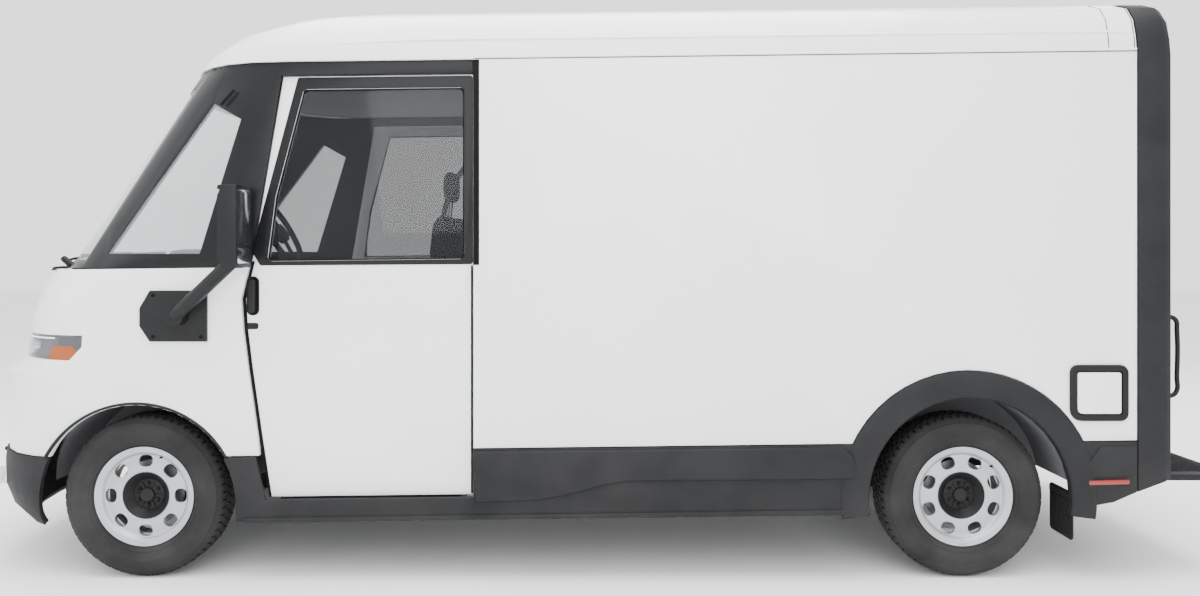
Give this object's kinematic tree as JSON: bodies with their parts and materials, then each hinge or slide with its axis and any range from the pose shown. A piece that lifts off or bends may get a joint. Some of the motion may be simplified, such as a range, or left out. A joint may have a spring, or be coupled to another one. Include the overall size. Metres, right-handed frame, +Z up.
{
  "type": "electric walk-in delivery van",
  "caption": "Walk-in delivery van with sliding cab doors, a tall hollow cargo body, a roll-up rear door, a rear step and steered front wheels.",
  "frame": {"origin": "on the ground under the middle of the vehicle's overall length and width", "axes": "+X towards the rear, +Y towards the vehicle's right side, +Z up; the front faces -X"},
  "size_m": [6.1, 2.6128, 2.7646],
  "materials": {
    "white_paint": "gloss white paint",
    "black_plastic": "satin grained black plastic",
    "gloss_black": "gloss black paint",
    "glass": "clear light grey glass",
    "lamp": "clear lens over chrome reflector, amber indicator",
    "red_lamp": "red lens",
    "steel": "black chassis paint",
    "wheel_silver": "light silver wheel enamel",
    "tyre_rubber": "black tyre rubber",
    "grey_trim": "dark grey grained trim",
    "seat_fabric": "charcoal woven seat fabric"
  },
  "bodies": {
    "van": {"chassis_frame": "steel", "battery_pack": "steel", "front_suspension": "steel", "rear_axle": "steel", "cab_floor": "grey_trim", "cargo_floor": "grey_trim", "nose_panel": "white_paint", "left_fender": "white_paint", "right_fender": "white_paint", "front_bumper": "black_plastic", "left_headlight": "lamp", "right_headlight": "lamp", "greenhouse": "gloss_black", "windshield": "glass", "left_quarter_glass": "glass", "right_quarter_glass": "glass", "roof": "white_paint", "left_side_panel": "white_paint", "right_side_panel": "white_paint", "left_cladding": "black_plastic", "right_cladding": "black_plastic", "rear_portal": "black_plastic", "rear_door": "white_paint", "rear_step": "black_plastic", "left_tail_light": "red_lamp", "right_tail_light": "red_lamp", "left_mirror": "black_plastic", "right_mirror": "black_plastic", "bulkhead": "grey_trim", "dashboard": "grey_trim", "seat_base": "grey_trim", "seat_cushion": "seat_fabric", "seat_back": "seat_fabric", "charge_port": "black_plastic"},
    "left_door": {"left_cab_door": "white_paint", "left_door_glass": "glass"},
    "right_door": {"right_cab_door": "white_paint", "right_door_glass": "glass"},
    "charge_flap": {"charge_flap": "white_paint"},
    "steering_wheel": {"steering_wheel": "grey_trim"},
    "left_knuckle": {"left_knuckle": "steel"},
    "right_knuckle": {"right_knuckle": "steel"},
    "front_left_wheel": {"front_left_wheel": "wheel_silver", "front_left_tyre": "tyre_rubber"},
    "front_right_wheel": {"front_right_wheel": "wheel_silver", "front_right_tyre": "tyre_rubber"},
    "rear_left_wheel": {"rear_left_wheel": "wheel_silver", "rear_left_tyre": "tyre_rubber"},
    "rear_right_wheel": {"rear_right_wheel": "wheel_silver", "rear_right_tyre": "tyre_rubber"}
  },
  "joints": [
    {"name": "left_steering", "type": "hinge", "parent": "van", "child": "left_knuckle", "pos_m": [-2.1, -0.8, 0.385], "axis": [0, 0, 1], "range_deg": [-35, 35]},
    {"name": "right_steering", "type": "hinge", "parent": "van", "child": "right_knuckle", "pos_m": [-2.1, 0.8, 0.385], "axis": [0, 0, 1], "range_deg": [-35, 35]},
    {"name": "steering_wheel_turn", "type": "hinge", "parent": "van", "child": "steering_wheel", "pos_m": [-1.61, -0.45, 1.64], "axis": [0.8788, 0, 0.4772], "range_deg": [-560, 560]},
    {"name": "front_left_roll", "type": "hinge", "parent": "left_knuckle", "child": "front_left_wheel", "pos_m": [-2.1, -0.8775, 0.385], "axis": [0, 1, 0], "continuous": true},
    {"name": "front_right_roll", "type": "hinge", "parent": "right_knuckle", "child": "front_right_wheel", "pos_m": [-2.1, 0.8775, 0.385], "axis": [0, 1, 0], "continuous": true},
    {"name": "rear_left_roll", "type": "hinge", "parent": "van", "child": "rear_left_wheel", "pos_m": [1.789, -0.8775, 0.385], "axis": [0, 1, 0], "continuous": true},
    {"name": "rear_right_roll", "type": "hinge", "parent": "van", "child": "rear_right_wheel", "pos_m": [1.789, 0.8775, 0.385], "axis": [0, 1, 0], "continuous": true},
    {"name": "left_door_slide", "type": "slide", "parent": "van", "child": "left_door", "axis": [0.9999, 0, 0.012], "range_m": [0, 0.85]},
    {"name": "right_door_slide", "type": "slide", "parent": "van", "child": "right_door", "axis": [0.9999, 0, 0.012], "range_m": [0, 0.85]},
    {"name": "charge_flap_hinge", "type": "hinge", "parent": "van", "child": "charge_flap", "pos_m": [2.294, -1.06, 0.888], "axis": [0, 0, -1], "range_deg": [0, 90]}
  ],
  "couplings": [
    {"joint": "right_steering", "follows": "left_steering", "ratio": 1},
    {"joint": "steering_wheel_turn", "follows": "left_steering", "ratio": 16}
  ]
}
